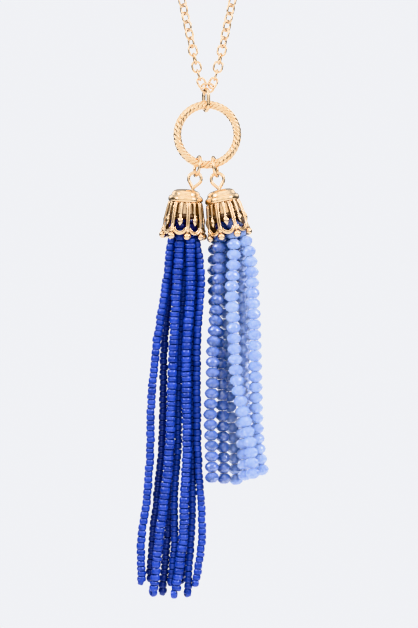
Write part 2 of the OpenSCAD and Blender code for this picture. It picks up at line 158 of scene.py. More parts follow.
# Slow drift between two tones, with fine grain for roughness and bump
def toneGroup():
    group, start, end = makeGroup(
        "toneAndGrain",
        {"Tone A": (1, 1, 1, 1), "Tone B": (1, 1, 1, 1), "Drift Scale": 300,
         "Grain Scale": 3000, "Rough Low": 0.1, "Rough High": 0.3},
        ("Color", "Roughness", "Height"))
    nodes, links = group.nodes, group.links
    coords = nodes.new("ShaderNodeTexCoord")
    drift = nodes.new("ShaderNodeTexNoise")
    grain = nodes.new("ShaderNodeTexNoise")
    drift.inputs["Detail"].default_value = noises["driftDetail"]
    grain.inputs["Detail"].default_value = noises["grainDetail"]
    for noise, label in ((drift, "Drift Scale"), (grain, "Grain Scale")):
        links.new(coords.outputs["Object"], noise.inputs["Vector"])
        links.new(start.outputs[label], noise.inputs["Scale"])
    spread = rangeNode(group, drift.outputs["Fac"], noises["driftSpread"])
    tone = mixColor(group, spread.outputs["Result"],
                    start.outputs["Tone A"], start.outputs["Tone B"])
    rough = rangeNode(group, grain.outputs["Fac"], noises["grainSpread"])
    links.new(start.outputs["Rough Low"], rough.inputs["To Min"])
    links.new(start.outputs["Rough High"], rough.inputs["To Max"])
    links.new(tone, end.inputs["Color"])
    links.new(rough.outputs["Result"], end.inputs["Roughness"])
    links.new(grain.outputs["Fac"], end.inputs["Height"])
    return group


# Paints shade into the hollows of cast and twisted metal and between beads, darker where nearby
# surfaces close them in
def paintedShadeGroup():
    group, start, end = makeGroup(
        "paintedShadeTone",
        {"Color": (1, 1, 1, 1), "Shade Color": (0.3, 0.2, 0.1, 1), "Reach": 0.0006,
         "Amount": 0.6},
        ("Color",))
    shade = group.nodes.new("ShaderNodeAmbientOcclusion")
    shade.samples = noises["shadeSamples"]
    group.links.new(start.outputs["Reach"], shade.inputs["Distance"])
    depth = mathNode(group, "SUBTRACT", 1, shade.outputs["AO"])
    weight = mathNode(group, "MULTIPLY", depth, start.outputs["Amount"], clamp=True)
    tone = mixColor(group, weight, start.outputs["Color"], start.outputs["Shade Color"])
    group.links.new(tone, end.inputs["Color"])
    return group


tones = toneGroup()
paintedShades = paintedShadeGroup()


def placeGroup(tree, group, values):
    node = tree.nodes.new("ShaderNodeGroup")
    node.node_tree = group
    for label, value in values.items():
        node.inputs[label].default_value = value
    return node


# The two tones and the roughness of a look
def toneNode(tree, look, dull=0.0):
    low, high = look["rough"]
    return placeGroup(tree, tones, {
        "Tone A": look["toneA"], "Tone B": look["toneB"], "Drift Scale": look["drift"],
        "Grain Scale": look["grain"], "Rough Low": low + dull, "Rough High": high + dull})


def withPaintedShade(tree, color, look, reach, amount):
    node = placeGroup(tree, paintedShades, {
        "Shade Color": look["paintedShade"], "Reach": reach * mm, "Amount": amount})
    tree.links.new(color, node.inputs["Color"])
    return node.outputs["Color"]


# Takes the second colour where the mesh is marked by an attribute
def marked(tree, mask, color, second):
    mark = tree.nodes.new("ShaderNodeAttribute")
    mark.attribute_name = mask
    return mixColor(tree, mark.outputs["Fac"], color, second)


# Colour, roughness and a fine grain into the shader
def dress(tree, shader, color, tone, bump=None):
    links = tree.links
    links.new(color, shader.inputs["Base Color"])
    links.new(tone.outputs["Roughness"], shader.inputs["Roughness"])
    if bump:
        node = tree.nodes.new("ShaderNodeBump")
        node.inputs["Distance"].default_value, node.inputs["Strength"].default_value = bump
        links.new(tone.outputs["Height"], node.inputs["Height"])
        links.new(node.outputs["Normal"], shader.inputs["Normal"])


def setSockets(shader, values):
    for label, value in values.items():
        shader.inputs[label].default_value = value


goldLook = {
    "toneA": (0.91, 0.64, 0.37, 1), "toneB": (0.95, 0.73, 0.49, 1),
    "paintedShade": (0.26, 0.11, 0.025, 1),
    "drift": 420, "grain": 5200, "rough": (0.13, 0.24), "bump": (0.00002, 0.25),
    "coat": 0.6, "coatRough": 0.08,
}


def goldMaterial(name, reach, amount, dull=0.0, mask=None):
    mat, shader = newMaterial(name)
    tree = mat.node_tree
    tone = toneNode(tree, goldLook, dull)
    color = withPaintedShade(tree, tone.outputs["Color"], goldLook, reach, amount)
    # painted shade where the mesh is marked, as along the ring's grooves
    if mask:
        color = marked(tree, mask, color, goldLook["paintedShade"])
    dress(tree, shader, color, tone, goldLook["bump"])
    setSockets(shader, {"Metallic": 1, "Coat Weight": goldLook["coat"],
                        "Coat Roughness": goldLook["coatRough"]})
    return mat


seedLook = {
    "toneA": (0.015, 0.036, 0.245, 1), "toneB": (0.031, 0.067, 0.375, 1),
    # the first dark colour and its reach paint shade between the beads; the shaded colour is
    # painted shade up in the cap and behind other strands
    "paintedShade": (0.0, 0.001, 0.022, 1), "shadeReach": 0.7, "shadeAmount": 1.4,
    "shaded": (0.018, 0.017, 0.08, 1),  # up in the cap and behind other strands
    "gloss": (0.55, 0.65, 1.0, 1),
    "drift": 380, "grain": 2600, "rough": (0.05, 0.12), "bump": (0.00003, 0.2), "ior": 1.65,
}


def seedMaterial():
    mat, shader = newMaterial("cobaltGlass")
    tree = mat.node_tree
    tone = toneNode(tree, seedLook)
    color = marked(tree, "shade", tone.outputs["Color"], seedLook["shaded"])
    color = withPaintedShade(tree, color, seedLook, seedLook["shadeReach"], seedLook["shadeAmount"])
    dress(tree, shader, color, tone, seedLook["bump"])
    setSockets(shader, {"IOR": seedLook["ior"], "Specular Tint": seedLook["gloss"]})
    return mat


rondelleLook = {
    # each glass: its two tones, and its painted shade up in the cap; the three are one glass
    # painted as lit, half shaded and deep in shade
    "paleLit": ((0.27, 0.38, 0.69, 1), (0.39, 0.51, 0.79, 1), (0.10, 0.14, 0.36, 1)),
    "middle": ((0.23, 0.34, 0.66, 1), (0.33, 0.45, 0.76, 1), (0.05, 0.08, 0.22, 1)),
    "deepShade": ((0.07, 0.13, 0.36, 1), (0.115, 0.18, 0.45, 1), (0.015, 0.03, 0.12, 1)),
    "drift": 260, "grain": 1500, "rough": (0.04, 0.09),
    "clear": 0.12, "ior": 1.6,
    "milk": 0.5, "milkTint": (0.6, 0.8, 1.0), "milkDepth": 0.0009,
}


def rondelleMaterial(kind):
    mat, shader = newMaterial(kind + "CutGlass")
    tree = mat.node_tree
    toneA, toneB, shaded = rondelleLook[kind]
    tone = toneNode(tree, {**rondelleLook, "toneA": toneA, "toneB": toneB})
    dress(tree, shader, marked(tree, "shade", tone.outputs["Color"], shaded), tone)
    setSockets(shader, {
        "Transmission Weight": rondelleLook["clear"], "IOR": rondelleLook["ior"],
        "Subsurface Weight": rondelleLook["milk"], "Subsurface Radius": rondelleLook["milkTint"],
        "Subsurface Scale": rondelleLook["milkDepth"]})
    return mat


threadLook = {"drift": 900, "grain": 6000, "rough": (0.45, 0.7), "bump": (0.00003, 0.5)}


def threadMaterial(name, toneA, toneB):
    mat, shader = newMaterial(name)
    tree = mat.node_tree
    tone = toneNode(tree, {**threadLook, "toneA": toneA, "toneB": toneB})
    dress(tree, shader, tone.outputs["Color"], tone, threadLook["bump"])
    return mat


# Golds: reach of the shade painted into their hollows in millimetres, its strength, added
# dullness
gold = goldMaterial("paleGold", 0.5, 0.9)
# the twisted ring also gets painted shade along the grooves between its strands
twistGold = goldMaterial("twistedPaleGold", 0.35, 1.0, 0.08, "grooveShade")
castGold = goldMaterial("castPaleGold", 1.2, 1.2)
# the cup's gold is painted deep in shade, as it lies in the shadow of the cap
cupGold = goldMaterial("shadedGold", 3.0, 0.6, 0.12)
cobaltGlass = seedMaterial()
milkyGlass = {kind: rondelleMaterial(kind) for kind in ("paleLit", "middle", "deepShade")}
beadingThread = threadMaterial("beadingThread", (0.55, 0.60, 0.75, 1), (0.75, 0.80, 0.90, 1))
navyThread = threadMaterial("navyThread", (0.004, 0.008, 0.05, 1), (0.01, 0.016, 0.09, 1))
# the knot's brown-black stands for the shade inside the caps
knotShadeThread = threadMaterial("knotShadeThread", (0.055, 0.026, 0.010, 1), (0.12, 0.06, 0.024, 1))
print("materials made")


# Vertices and faces gathered in millimetres
class Shape:
    def __init__(self):
        self.verts = []
        self.faces = []

    def add(self, verts, faces):
        base = len(self.verts)
        self.verts.extend(verts)
        self.faces.extend([tuple(base + i for i in face) for face in faces])

    def join(self, other):
        self.add(other.verts, other.faces)

    def addMoved(self, other, matrix):
        self.add([matrix @ v for v in other.verts], other.faces)

    def finish(self, name, material, body, sharp=None):
        mesh = bpy.data.meshes.new(name)
        mesh.from_pydata([v * mm for v in self.verts], [], self.faces)
        mesh.validate()
        mesh.materials.append(material)
        if sharp == 0:
            mesh.shade_flat()
        else:
            mesh.shade_smooth()
            if sharp:
                mesh.set_sharp_from_angle(angle=math.radians(sharp))
        obj = addObject(name, mesh)
        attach(obj, body)
        return obj


def markMesh(obj, mask, values):
    obj.data.attributes.new(mask, "FLOAT", "POINT").data.foreach_set("value", values)


def ringFaces(count, sides, closed):
    faces = []
    for i in range(count if closed else count - 1):
        for j in range(sides):
            a = i * sides + j
            b = i * sides + (j + 1) % sides
            c = ((i + 1) % count) * sides + (j + 1) % sides
            d = ((i + 1) % count) * sides + j
            faces.append((a, b, c, d))
    return faces


# A tube through points, its rings carried along without twist
def sweep(points, radius, sides=10, closed=False, squash=1.0, up=None):
    n = len(points)
    verts = []
    last = None
    for i, p in enumerate(points):
        ahead = points[(i + 1) % n] if closed or i < n - 1 else p
        behind = points[i - 1] if closed or i > 0 else p
        t = (ahead - behind).normalized()
        if up is not None:
            a = up[i] if isinstance(up, list) else up
            a = (a - t * a.dot(t)).normalized()
        elif last is None:
            a = t.orthogonal().normalized()
        else:
            a = (last - t * last.dot(t)).normalized()
        last = a
        b = t.cross(a)
        r = radius[i] if isinstance(radius, list) else radius
        for j in range(sides):
            w = 2 * math.pi * j / sides
            verts.append(p + a * (r * squash * math.cos(w)) + b * (r * math.sin(w)))
    faces = ringFaces(n, sides, closed)
    if not closed:
        faces.append(tuple(reversed(range(sides))))
        faces.append(tuple((n - 1) * sides + j for j in range(sides)))
    shape = Shape()
    shape.add(verts, faces)
    return shape


# Turns an outline of (radius, height) points about Z
def lathe(outline, steps=32, closed=True):
    verts = []
    for i in range(steps):
        w = 2 * math.pi * i / steps
        verts += [Vector((r * math.cos(w), r * math.sin(w), z)) for r, z in outline]
    m = len(outline)
    faces = []
    for i in range(steps):
        k = (i + 1) % steps
        for j in range(m if closed else m - 1):
            a, b = i * m + j, i * m + (j + 1) % m
            c, d = k * m + (j + 1) % m, k * m + j
            faces.append((d, c, b, a))
    shape = Shape()
    shape.add(verts, faces)
    return shape


# Points round a centre in the plane of two directions; an open arc has its last one too
def circlePoints(radius, steps, centre, a, b, start=0.0, sweepBy=360.0, closed=True):
    count = steps if closed else steps + 1
    angles = [math.radians(start + sweepBy * i / steps) for i in range(count)]
    return [centre + a * (radius * math.cos(w)) + b * (radius * math.sin(w)) for w in angles]


def ball(radius, rows=10, steps=14):
    shape = Shape()
    verts = [Vector((0, 0, radius))]
    for i in range(1, rows):
        z = math.pi * i / rows
        level, r = Vector((0, 0, radius * math.cos(z))), radius * math.sin(z)
        verts += circlePoints(r, steps, level, xAxis, yAxis)
    verts.append(Vector((0, 0, -radius)))
    faces = [(0, 1 + j, 1 + (j + 1) % steps) for j in range(steps)]
    for i in range(rows - 2):
        for j in range(steps):
            a = 1 + i * steps + j
            b = 1 + i * steps + (j + 1) % steps
            faces.append((a, a + steps, b + steps, b))
    end = len(verts) - 1
    faces += [(end, end - steps + (j + 1) % steps, end - steps + j) for j in range(steps)]
    shape.add(verts, faces)
    return shape


# A smooth way through chosen points, asked by the length run along it
class Route:
    def __init__(self, points, parts=12):
        self.points = [Vector(p) for p in points]
        self.table = [(0.0, self.at(0))]
        for k in range(1, (len(points) - 1) * parts + 1):
            p = self.at(k / parts)
            self.table.append((self.table[-1][0] + (p - self.table[-1][1]).length, p))
        self.length = self.table[-1][0]

    def leg(self, i):
        p = self.points
        if i == 0:
            return p[1] - p[0]
        if i == len(p) - 1:
            return p[i] - p[i - 1]
        return (p[i + 1] - p[i - 1]) / 2

    def at(self, t):
        i = min(int(t), len(self.points) - 2)
        u, v = t - i, 1 - t + i
        return (self.points[i] * (v * v * (1 + 2 * u)) + self.leg(i) * (v * v * u)
                + self.points[i + 1] * (u * u * (1 + 2 * v)) - self.leg(i + 1) * (u * u * v))

    def place(self, s):
        s = min(max(s, 0), self.length)
        low, high = 0, len(self.table) - 1
        while high - low > 1:
            mid = (low + high) // 2
            if self.table[mid][0] <= s:
                low = mid
            else:
                high = mid
        (s0, p0), (s1, p1) = self.table[low], self.table[high]
        return p0.lerp(p1, (s - s0) / (s1 - s0))

    def heading(self, s, reach=0.4):
        return (self.place(s + reach) - self.place(s - reach)).normalized()

    def line(self, length, steps):
        return [self.place(length * i / steps) for i in range(steps + 1)]


# Sets what is drawn along X down a heading, its flat side turned about it by degrees
def along(centre, t, turn):
    face = Vector((0, -1, 0))
    face = (face - t * face.dot(t)).normalized()
    side = t.cross(face)
    n = face * math.cos(math.radians(turn)) + side * math.sin(math.radians(turn))
    w = n.cross(t)
    return Matrix(((t.x, w.x, n.x, centre.x), (t.y, w.y, n.y, centre.y),
                   (t.z, w.z, n.z, centre.z), (0, 0, 0, 1)))


chain = {
    "wire": 0.55,
    "pitch": 2.33,
    "width": 2.9,
    "play": 0.1,
    "frontLinks": 12,
    "lowStep": 2.13,
    "lowExtra": 0.5,
    "turns": [15, -28, 0, -8, -10, -20, -32, -40],
    "turnFar": -45,
    "wander": 5,  # degrees that the far links turn at random
    "start": (0, -111, -343),
    "ends": {-1: (-5.72, 0, 0), 1: (7.9, 0, 0)},  # at the clasp's eye and at its tag ring
    "route": [(0, 0, 0), (1.6, -0.2, 1.4), (3.05, -0.8, 6), (5.0, -1, 15), (7.2, -1, 25),
              (12, -1, 48), (18, -1, 76), (24, -0.5, 104), (30, 0, 132), (36, 1, 160),
              (42, 3, 188), (48, 6, 216), (54, 11, 243), (59, 19, 267), (62, 31, 287),
              (63, 45, 303), (61, 60, 316), (57, 75, 326), (49, 89, 334), (38, 100, 339),
              (25, 107, 342), (14, 110.5, 343)],
}


def linkShape(extra=0.0, around=30, sides=9):
    r = (chain["width"] - chain["wire"]) / 2
    straight = chain["pitch"] + chain["play"] + chain["wire"] - 2 * r + extra
    points = []
    for i in range(around):
        w = 2 * math.pi * i / around
        shift = straight / 2 * (1 if math.cos(w) > 0 else -1)
        points.append(Vector((shift + r * math.cos(w), r * math.sin(w), 0)))
    return sweep(points, chain["wire"] / 2, sides, closed=True, up=zAxis)


def makeChain():
    link = linkShape()
    front = Shape()
    start = Vector(chain["start"])
    low = along(start, xAxis, chain["turns"][0])
    front.addMoved(linkShape(chain["lowExtra"]), low)
    lastFront = chain["lowStep"] + (chain["frontLinks"] - 1) * chain["pitch"]
    for side in (-1, 1):
        points = [start + Vector((side * x, y, z)) for x, y, z in chain["route"]]
        points.append(Vector(chain["ends"][side]))
        route = Route(points)
        rest = Shape()
        count = round((route.length - chain["lowStep"]) / chain["pitch"])
        for i in range(1, count + 1):
            turn = chain["turns"][i] if i < len(chain["turns"]) else chain["turnFar"]
            turn += 90 * ((i + 1) % 2)
            if i <= chain["frontLinks"]:
                part, s = front, chain["lowStep"] + (i - 1) * chain["pitch"]
            else:  # spaced evenly up to the clasp
                left = (count - i) / (count - chain["frontLinks"])
                part, s = rest, route.length - left * (route.length - lastFront)
                turn += random.uniform(-chain["wander"], chain["wander"])
            part.addMoved(link, along(route.place(s), route.heading(s), side * turn))
        name = "chain_left" if side < 0 else "chain_right"
        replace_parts(rest.finish(name, gold, "chain"), "chain_back")
    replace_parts(front.finish("chain_links_front", gold, "chain"), "chain_front")


makeChain()
print("chain linked")


clasp = {
    "ringD": 8.2, "ringWire": 1.8, "eyeD": 3.8, "eyeWire": 0.8, "tagD": 5.0, "tagWire": 0.7,
    # arcs of the ring in steps, start and degrees: hollow shell and the tongue that slides in it
    "shell": (64, 118, 312), "tongue": (14, 66, 58), "tongueShare": 0.72,
    "collars": ((3, 119, 5), (3, 66, 5)), "collarShare": 1.06,
    "lever": 140, "leverFrom": 0.7, "leverLong": 0.55, "leverRadii": [0.42, 0.36, 0.45],
    "tagAir": 0.03,
}


def makeClasp():
    long = clasp["ringD"] + clasp["eyeD"] - clasp["eyeWire"]
    ringAt = xAxis * ((long - clasp["ringD"]) / 2)
    ringR = (clasp["ringD"] - clasp["ringWire"]) / 2
    eyeAt = xAxis * ((clasp["eyeD"] - long) / 2)
    eyeR = (clasp["eyeD"] - clasp["eyeWire"]) / 2
    half = clasp["ringWire"] / 2
    parts = Shape()
    arcs = [(clasp["shell"], 1, 16), (clasp["tongue"], clasp["tongueShare"], 14)]
    arcs += [(collar, clasp["collarShare"], 16) for collar in clasp["collars"]]
    for (steps, start, by), share, around in arcs:
        line = circlePoints(ringR, steps, ringAt, xAxis, zAxis, start, by, closed=False)
        parts.join(sweep(line, half * share, around, up=yAxis))
    angle = math.radians(clasp["lever"])
    out = xAxis * math.cos(angle) + zAxis * math.sin(angle)
    root = ringAt + out * (ringR + half * clasp["leverFrom"])
    tip = root + out * clasp["leverLong"]
    parts.join(sweep([root, root.lerp(tip, 0.5), tip], clasp["leverRadii"], 12, up=yAxis))
    eye = circlePoints(eyeR, 40, eyeAt, xAxis, zAxis)
    parts.join(sweep(eye, clasp["eyeWire"] / 2, 12, closed=True, up=yAxis))
    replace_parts(parts.finish("spring_ring_clasp", gold, "chain", 40), "clasp")
    tagR = (clasp["tagD"] - clasp["tagWire"]) / 2
    wireIn = ringAt.x + ringR - half - clasp["tagWire"] / 2 - clasp["tagAir"]
    line = circlePoints(tagR, 44, Vector((wireIn + tagR, 0, 0)), xAxis, yAxis)
    tag = sweep(line, clasp["tagWire"] / 2, 12, closed=True, up=zAxis)
    tag.finish("clasp_tag_ring", gold, "chain")


makeClasp()
print("clasp made")


hang = {
    "bailWire": 0.8, "bailInner": 3.1, "bailTurn": 20, "bailDrop": 6.15,
    "bailRise": 0.3, "bailAside": -0.35,  # the bail's low end lies against the ring
    "bailShare": 1.3, "ringShare": 1.04, "wireShare": 1.08,  # wires shown fuller by these
    "ringD": 18.8, "ringWire": 2.15, "ringTurns": 8, "ringAir": 0.4,
    "ringStrands": 5, "ringGroove": 0.22, "ringSteps": 520, "ringPoints": 40,
    "jumpD": 6.25, "jumpWire": 0.8, "jumpCut": 40, "jumpGap": 2,  # degrees
    "eyeD": 4.3, "eyeWire": 0.8, "eyeNeck": 2.7, "eyePlay": 0.1, "eyeFoot": (0.12, 0.15),
    "shaftOver": 0.35, "shaftBend": 0.6, "shaftIn": 2.4, "shaftRadii": [0.42, 0.5, 0.5],
    "capH": 13.0,
}
# Each side: place on the ring, leans of jump ring, eye and cap, turns and phases in degrees
sides = {
    "left": {"x": -2.58, "jumpLean": -11, "jumpTurn": 14, "eyeLean": -12, "capShift": -1.8,
             "capSink": 0.2, "capLean": -4, "capTip": 4, "phase": 33, "body": "tassel_left"},
    "right": {"x": 2.0, "jumpLean": 11.5, "jumpTurn": -10, "eyeLean": 9.5, "capShift": 0.25,
              "capSink": 0.1, "capLean": 12, "capTip": 2, "phase": 24, "body": "tassel_right"},
}
ringR = (hang["ringD"] - hang["ringWire"]) / 2
bailHook = (hang["bailWire"] + chain["wire"]) / 2 + chain["play"]
bailTop = Vector(chain["start"])
bailTop.z += bailHook - (chain["width"] - chain["wire"]) / 2
bailLow = bailTop - Vector((0, 0, hang["bailDrop"]))
ringAt = bailLow.copy()
ringAt.z += hang["bailWire"] / 2 + hang["ringAir"] + hang["ringWire"] / 2 - ringR


def down(lean):
    return Vector((math.sin(math.radians(lean)), 0, -math.cos(math.radians(lean))))


jumpIn = hang["jumpD"] / 2 - hang["jumpWire"]
for side in sides.values():
    onJump, onEye = down(side["jumpLean"]), down(side["eyeLean"])
    pivot = ringAt + Vector((side["x"], 0, -math.sqrt(ringR ** 2 - side["x"] ** 2)))
    side["jumpAt"] = pivot + onJump * (jumpIn - hang["ringWire"] / 2 - hang["ringAir"])
    side["eyeR"] = (hang["eyeD"] - hang["eyeWire"]) / 2
    side["eyeAt"] = (side["jumpAt"] + onJump * (jumpIn - hang["eyePlay"] - hang["eyeWire"] / 2)
                     + onEye * side["eyeR"])
    side["apex"] = side["eyeAt"] + onEye * hang["eyeNeck"]
    side["top"] = side["apex"] + Vector((side["capShift"], 0, -side["capSink"]))
    side["mouth"] = side["top"] + down(side["capLean"]) * hang["capH"]


# Wound round its circle, with round strands and sharp grooves between them
def makeRing():
    steps, points = hang["ringSteps"], hang["ringPoints"]
    verts, grooveShades = [], []
    for i in range(steps):
        a = 2 * math.pi * i / steps
        out = Vector((math.cos(a), 0, math.sin(a)))
        for j in range(points):
            b = 2 * math.pi * j / points
            lobe = abs(math.cos(hang["ringStrands"] * b / 2)) ** 0.6
            # painted shade along the grooves between the strands
            grooveShades.append(max(0, 1 - lobe * 1.7))
            r = hang["ringWire"] / 2 * hang["ringShare"] * (1 - hang["ringGroove"] * (1 - lobe))
            w = b - hang["ringTurns"] * a
            aside = Vector((0, r * math.sin(w), 0))
            verts.append(ringAt + out * (ringR + r * math.cos(w)) + aside)
    shape = Shape()
    shape.add(verts, [tuple(reversed(f)) for f in ringFaces(steps, points, True)])
    obj = shape.finish("twisted_wire_ring", twistGold, "pendant")
    markMesh(obj, "grooveShade", grooveShades)
    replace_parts(obj, "twisted_ring")


def makeBail():
    turn = math.radians(hang["bailTurn"])
    wide = Vector((math.sin(turn), -math.cos(turn), 0))
    r = (hang["bailInner"] + hang["bailWire"]) / 2
    middle = (bailTop + bailLow) / 2 + Vector((hang["bailAside"], 0, hang["bailRise"] / 2))
    straight = hang["bailDrop"] - hang["bailRise"] - 2 * r
    steps = 56
    points = circlePoints(r, steps, middle, wide, zAxis)
    for i, p in enumerate(points):
        p.z += straight / 2 * (1 if math.sin(2 * math.pi * i / steps) > 0 else -1)
    wire = hang["bailWire"] / 2 * hang["bailShare"]
    shape = sweep(points, wire, 14, closed=True, up=wide.cross(zAxis))
    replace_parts(shape.finish("oval_bail", gold, "chain"), "bail")


def makeJump(label, side):
    lean = Matrix.Rotation(math.radians(-side["jumpLean"]), 3, "Y") @ Matrix.Rotation(
        math.radians(side["jumpTurn"]), 3, "Z")
    a, b = lean @ yAxis, lean @ zAxis
    r = (hang["jumpD"] - hang["jumpWire"]) / 2
    points = circlePoints(r, 60, side["jumpAt"], a, b, hang["jumpCut"] + hang["jumpGap"],
                          360 - 2 * hang["jumpGap"], closed=False)
    wire = hang["jumpWire"] / 2 * hang["wireShare"]
    shape = sweep(points, wire, 14, up=lean @ xAxis)
    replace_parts(shape.finish("jump_wire_" + label, gold, side["body"]), "jump_ring_" + label)


# A wire loop like a drop, with a shaft that goes down into the cap
def makeEye(label, side):
    r, neck = side["eyeR"], hang["eyeNeck"]
    lean = Matrix.Rotation(math.radians(-side["eyeLean"]), 3, "Y")
    half = math.asin(r / neck)
    footX, footRise = hang["eyeFoot"]
    outline = [Vector((footX, 0, footRise - neck))]
    for i in range(41):
        w = -half + (math.pi + 2 * half) * i / 40
        outline.append(Vector((r * math.cos(w), 0, r * math.sin(w))))
    outline.append(Vector((-footX, 0, footRise - neck)))
    wire = hang["eyeWire"] / 2 * hang["wireShare"]
    shape = sweep([side["eyeAt"] + lean @ p for p in outline], wire, 14, up=yAxis)
    axis = down(side["capLean"])
    back = Vector((side["capShift"], 0, 0)) * math.cos(math.radians(side["capLean"]))
    shaft = [side["apex"] - down(side["eyeLean"]) * hang["shaftOver"],
             side["apex"] + axis * hang["shaftBend"], side["top"] + axis * hang["shaftIn"] - back]
    shape.join(sweep(shaft, hang["shaftRadii"], 12))
    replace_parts(shape.finish("eye_wire_" + label, gold, side["body"], 50), "eye_" + label)


makeRing()
makeBail()
for label, side in sides.items():
    makeJump(label, side)
    makeEye(label, side)
print("ring, bail, jump rings and eyes hung")


cap = {
    "shoulderLow": 9.3, "wall": 0.45, "petals": 8,
    # the skirt, as height over the mouth and radius
    "bell": [(-1.0, 5.75), (0.0, 5.9), (1.5, 5.97), (5.2, 5.6), (8.3, 5.02), (9.4, 4.66),
             (14.0, 4.4)],
    # outside of the crown from its hole down, as radius and height
    "crown": [(0.75, 12.98), (1.8, 12.92), (2.7, 12.76), (3.3, 12.5), (3.7, 12.15), (3.88, 11.75),
              (3.98, 11.42), (4.06, 11.3), (4.1, 11.2), (4.4, 11.08), (4.64, 10.84), (4.8, 10.5),
              (4.86, 10.1), (4.8, 9.78), (4.62, 9.54), (4.42, 9.44), (4.4, 9.38), (4.54, 9.33),
              (4.6, 9.22), (4.5, 9.1)],
    "inside": [(4.05, 9.05), (3.95, 9.6), (3.55, 11.0), (2.9, 11.9), (0.75, 12.4)],
    "legWire": 0.27, "lowWire": 0.36, "petalLow": 0.75, "petalSpan": 1.7,
    "rimWire": 0.2, "rimArc": (188, 164), "rimSunk": -0.14,
    "stemTop": 0.46, "stemLow": 0.25, "dropHalf": 0.76, "dropHigh": 5.5, "dropLow": 3.0,
    "ballD": 2.1, "ballSeat": (0.05, 0.075), "granuleD": 1.0, "granuleSeat": (1.55, 0.12),
    # the web under two petals, as height and half width
    "web": [(0.6, 0.4), (1.2, 0.52), (1.8, 0.5), (2.4, 0.4), (3.0, 0.28), (3.8, 0.12)],
    "cupRim": 6.2, "cupD": 8.6, "cupWall": 0.35, "cupRise": 0.2, "cupNarrow": 0.3,
    "hole": 0.75,
    # shade is painted on the glass up in the cap, from shadeFrom over shadeOver
    "shadeFrom": -0.6, "shadeOver": 1.4, "shadeMost": 0.9,  # marks the glass up in the cap
}


def skirtR(z):
    for (z0, r0), (z1, r1) in zip(cap["bell"], cap["bell"][1:]):
        if z <= z1:
            break
    return r0 + (r1 - r0) * (z - z0) / (z1 - z0)


# A point on the cap's skirt: sideways from a petal's middle, and height
def onSkirt(angle, sideways, z, out=0.0):
    r = skirtR(z) - cap["wall"] / 2 + out
    w = math.radians(angle) + sideways / (skirtR(z) - cap["wall"] / 2)
    return Vector((r * math.cos(w), r * math.sin(w), z))


# Half a petal's width, so that two neighbours' legs lie side by side
def petalHalf(z):
    return math.pi / cap["petals"] * (skirtR(z) - cap["wall"] / 2) - cap["legWire"]


def petalPath(angle, steps=18, rise=10):
    low, high, leg = cap["petalLow"], cap["shoulderLow"], cap["legWire"]
    half = petalHalf(low + cap["petalSpan"])
    points, radii = [], []
    for i in range(rise):
        z = high + (low + half - high) * i / rise
        points.append(onSkirt(angle, -petalHalf(z), z))
        radii.append(leg)
    for i in range(steps + 1):
        w = math.pi + math.pi * i / steps
        points.append(onSkirt(angle, half * math.cos(w), low + half + half * math.sin(w)))
        radii.append(leg + (cap["lowWire"] - leg) * abs(math.sin(w)) ** 0.7)
    for i in range(1, rise + 1):
        z = low + half + (high - low - half) * i / rise
        points.append(onSkirt(angle, petalHalf(z), z))
        radii.append(leg)
    return points, radii


# The thinner rim that lines the bottom of a petal
def rimPath(angle, steps=16):
    low = cap["petalLow"]
    half = petalHalf(low + cap["petalSpan"])
    inner = half - cap["lowWire"] - cap["rimWire"] * 0.8
    start, by = cap["rimArc"]
    points, radii = [], []
    for i in range(steps + 1):
        w = math.radians(start + by * i / steps)
        z = low + half + inner * math.sin(w)
        points.append(onSkirt(angle, inner * math.cos(w), z, cap["rimSunk"]))
        radii.append(cap["rimWire"] * min(1, 0.25 + 0.25 * min(i, steps - i)))
    return points, radii


# A flat stem that swells into a pointed drop
def dropPath(angle, steps=10, rise=6):
    high, low, stem = cap["dropHigh"], cap["dropLow"], cap["stemLow"]
    points, radii = [], []
    for i in range(rise + 1):
        z = cap["shoulderLow"] + (high - cap["shoulderLow"]) * i / rise
        points.append(onSkirt(angle, 0, z, -0.02))
        radii.append(cap["stemTop"] + (stem - cap["stemTop"]) * (i / rise) ** 0.7)
    for i in range(1, steps + 1):
        u = i / steps
        points.append(onSkirt(angle, 0, high + (low - high) * u, 0.02))
        swell = math.sin(math.pi * u ** 0.85) ** 0.9 if u < 1 else 0
        radii.append(max(stem * (1 - u), cap["dropHalf"] * swell, 0.06))
    return points, radii


def outward(points):
    return [Vector((p.x, p.y, 0)).normalized() for p in points]


def capShape(phase):
    shape = lathe(cap["crown"] + cap["inside"], 72)
    step = 360 / cap["petals"]
    ballZ, ballOut = cap["ballSeat"]
    granuleZ, granuleOut = cap["granuleSeat"]
    for k in range(cap["petals"]):
        angle, edge = (k + 0.5) * step - phase, k * step - phase
        points, radii = petalPath(angle)
        shape.join(sweep(points, radii, 12, squash=1.1, up=outward(points)))
        points, radii = rimPath(angle)
        shape.join(sweep(points, radii, 8, up=outward(points)))
        points, radii = dropPath(angle)
        shape.join(sweep(points, radii, 14, squash=0.6, up=outward(points)))
        seat = Matrix.Translation(onSkirt(edge, 0, ballZ, ballOut))
        shape.addMoved(ball(cap["ballD"] / 2, 12, 18), seat)
        seat = Matrix.Translation(onSkirt(edge, 0, granuleZ, granuleOut))
        shape.addMoved(ball(cap["granuleD"] / 2, 8, 12), seat)
        points = [onSkirt(edge, 0, z, -0.04) for z, _ in cap["web"]]
        radii = [half for _, half in cap["web"]]
        shape.join(sweep(points, radii, 10, squash=0.7, up=outward(points)))
    return shape


def cupShape():
    top, low, r = cap["shoulderLow"] + cap["cupRise"], cap["cupRim"], cap["cupD"] / 2
    wall, inner, hole = cap["cupWall"], r - cap["cupNarrow"], cap["hole"]
    return lathe([(hole, top), (inner - 0.3, top), (inner, top - 0.2), (r, low + 0.1),
                  (r - 0.1, low), (r - wall, low + 0.05), (inner - wall, top - wall),
                  (hole, top - wall)], 48)


